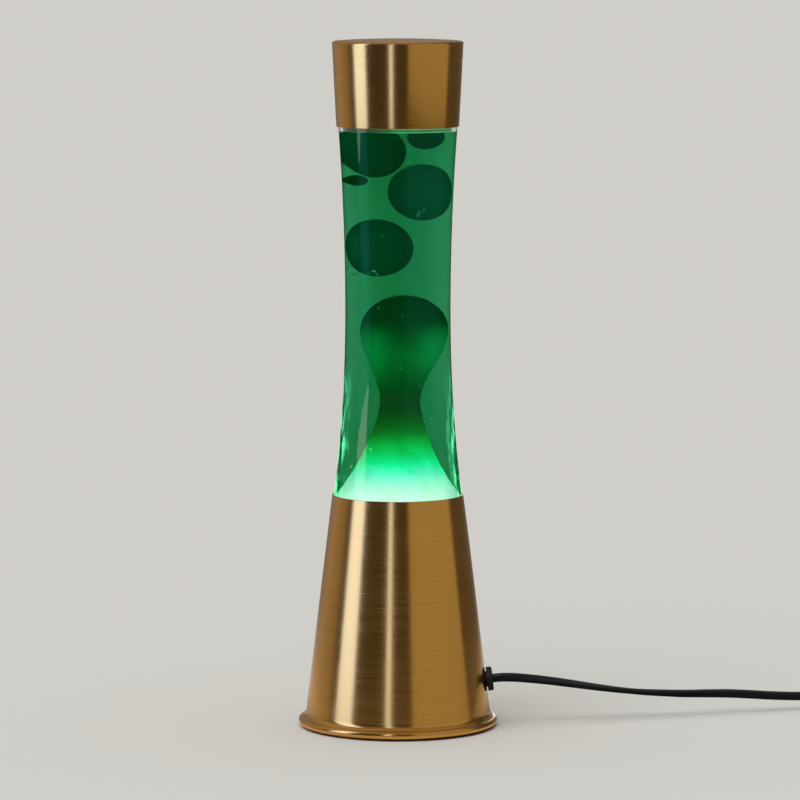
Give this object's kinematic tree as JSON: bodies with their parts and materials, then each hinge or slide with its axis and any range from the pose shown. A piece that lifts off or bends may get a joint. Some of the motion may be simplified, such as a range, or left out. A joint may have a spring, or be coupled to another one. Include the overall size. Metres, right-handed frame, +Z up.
{
  "type": "liquid motion lamp",
  "caption": "Table lamp with a flared metal base, a waisted bottle of clear green liquid and rising wax, a flared metal cap and a corded in-line switch.",
  "frame": {"origin": "on the table, under the middle of the base", "axes": "+Z up along the lamp's axis, +X towards the side where the cord leaves the base, -Y towards the viewer of the picture"},
  "size_m": [0.4601, 0.15, 0.4],
  "materials": {
    "brass_finish": "fine turned lines",
    "steel": "zinc plated",
    "plate_black": "matt black",
    "rubber": "matt",
    "holder_white": "matt",
    "contact_brass": "plain",
    "cord_black": "satin",
    "core_brown": "satin",
    "tie_black": "satin",
    "bulb_clear": "clear",
    "insulator_black": "glossy",
    "bottle_clear": "clear",
    "liquid_green": "clear liquid",
    "wax_green": "smooth glowing wax",
    "plastic_black": "satin"
  },
  "bodies": {
    "base": {"base_shell": "brass_finish", "seat_ring": "steel", "support_posts": "steel", "bottom_plate_screws": "steel", "holder_bracket": "steel", "bracket_screws": "steel", "holder_screws": "steel", "cord_clamp": "steel", "clamp_screw": "steel", "rocker_pin": "steel", "switch_screws": "steel", "bottom_plate": "plate_black", "seat_pad": "rubber", "rubber_feet": "rubber", "cord_bush": "rubber", "switch_bushes": "rubber", "holder_base": "holder_white", "holder_sleeve": "holder_white", "holder_thread_shell": "contact_brass", "holder_contact": "contact_brass", "holder_terminals": "contact_brass", "switch_contacts": "contact_brass", "plug_pins": "contact_brass", "inner_lead": "cord_black", "lamp_cord": "cord_black", "switch_lead": "cord_black", "cord_coil": "cord_black", "plug_lead": "cord_black", "lead_cores": "core_brown", "coil_tie": "tie_black", "switch_lower_case": "plastic_black", "switch_upper_case": "plastic_black", "plug_body": "plastic_black"},
    "bulb": {"bulb_glass": "bulb_clear", "bulb_stem": "bulb_clear", "bulb_filament": "steel", "bulb_screw_shell": "steel", "bulb_contact": "insulator_black"},
    "bottle": {"bottle_glass": "bottle_clear", "bottle_crown": "steel", "crown_seal": "holder_white", "liquid": "liquid_green", "wax_column": "wax_green", "wax_wire_ring": "steel", "wax_pool_left": "wax_green", "wax_pool_right": "wax_green", "wax_droplet": "wax_green"},
    "low_globule": {"wax_globule_low": "wax_green"},
    "high_globule": {"wax_globule_high": "wax_green"},
    "cap": {"cap_shell": "brass_finish", "cap_spacer": "plastic_black"},
    "rocker": {"switch_rocker": "plastic_black"}
  },
  "joints": [
    {"name": "bottle_lift", "type": "slide", "parent": "base", "child": "bottle", "axis": [0, 0, 1], "range_m": [0, 0.06]},
    {"name": "cap_lift", "type": "slide", "parent": "bottle", "child": "cap", "axis": [0, 0, 1], "range_m": [0, 0.06]},
    {"name": "bulb_removal", "type": "slide", "parent": "base", "child": "bulb", "axis": [0, 0, 1], "range_m": [0, 0.022]},
    {"name": "low_globule_rise", "type": "slide", "parent": "bottle", "child": "low_globule", "axis": [0, 0, 1], "range_m": [0, 0.006]},
    {"name": "high_globule_rise", "type": "slide", "parent": "bottle", "child": "high_globule", "axis": [0, 0, 1], "range_m": [0, 0.004]},
    {"name": "rocker_pivot", "type": "hinge", "parent": "base", "child": "rocker", "pos_m": [0.291, 0.053, 0.013], "axis": [0, 1, 0], "range_deg": [0, 20]}
  ]
}
